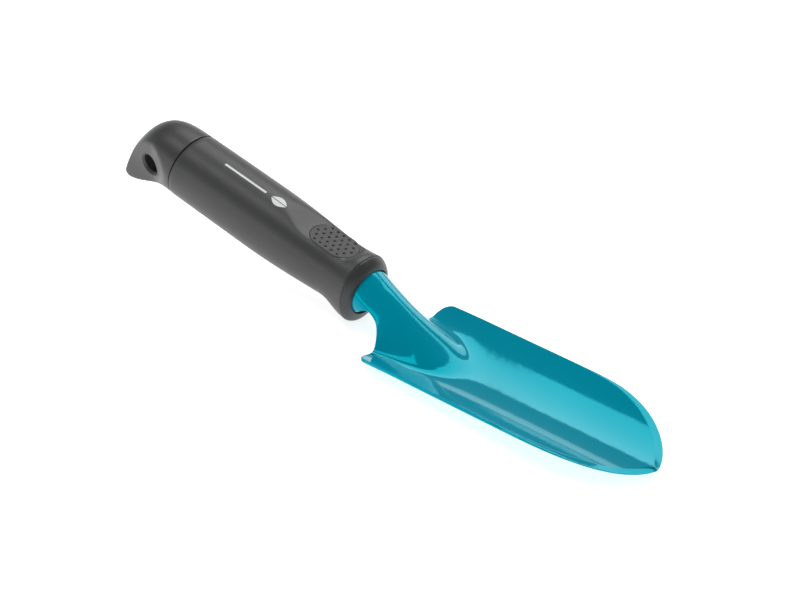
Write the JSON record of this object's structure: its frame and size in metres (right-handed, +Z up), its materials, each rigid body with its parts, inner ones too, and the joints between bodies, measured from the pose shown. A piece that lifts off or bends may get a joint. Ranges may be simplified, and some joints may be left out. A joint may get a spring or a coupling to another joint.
{
  "type": "hand trowel",
  "caption": "Hand trowel: a coated pressed-steel scoop whose humped neck and rolled tang are pinned into a soft-grip plastic handle with a thumb rest, finger stop and hooked hanging end.",
  "frame": {"origin": "centre of the trowel's box in plan, on the surface that it lies on", "axes": "+X along the trowel from the handle's end to the tip, +Y across it, +Z up; it lies scoop up, on the grip's finger stop and the scoop"},
  "size_m": [0.3086, 0.0598, 0.0497],
  "materials": {
    "coated_steel": "glossy teal powder coat on pressed sheet steel",
    "pin_steel": "plain spring steel",
    "core_plastic": "satin hard plastic",
    "grip_rubber": "soft-touch satin with a fine grain",
    "pad_rubber": "matt soft rubber with small blind dimples",
    "cap_plastic": "satin plastic with a fine grain"
  },
  "bodies": {
    "root": {"blade": "coated_steel", "tang_pin": "pin_steel", "handle_core": "core_plastic", "grip_sleeve": "grip_rubber", "thumb_pad": "pad_rubber", "end_cap": "cap_plastic"}
  },
  "joints": []
}
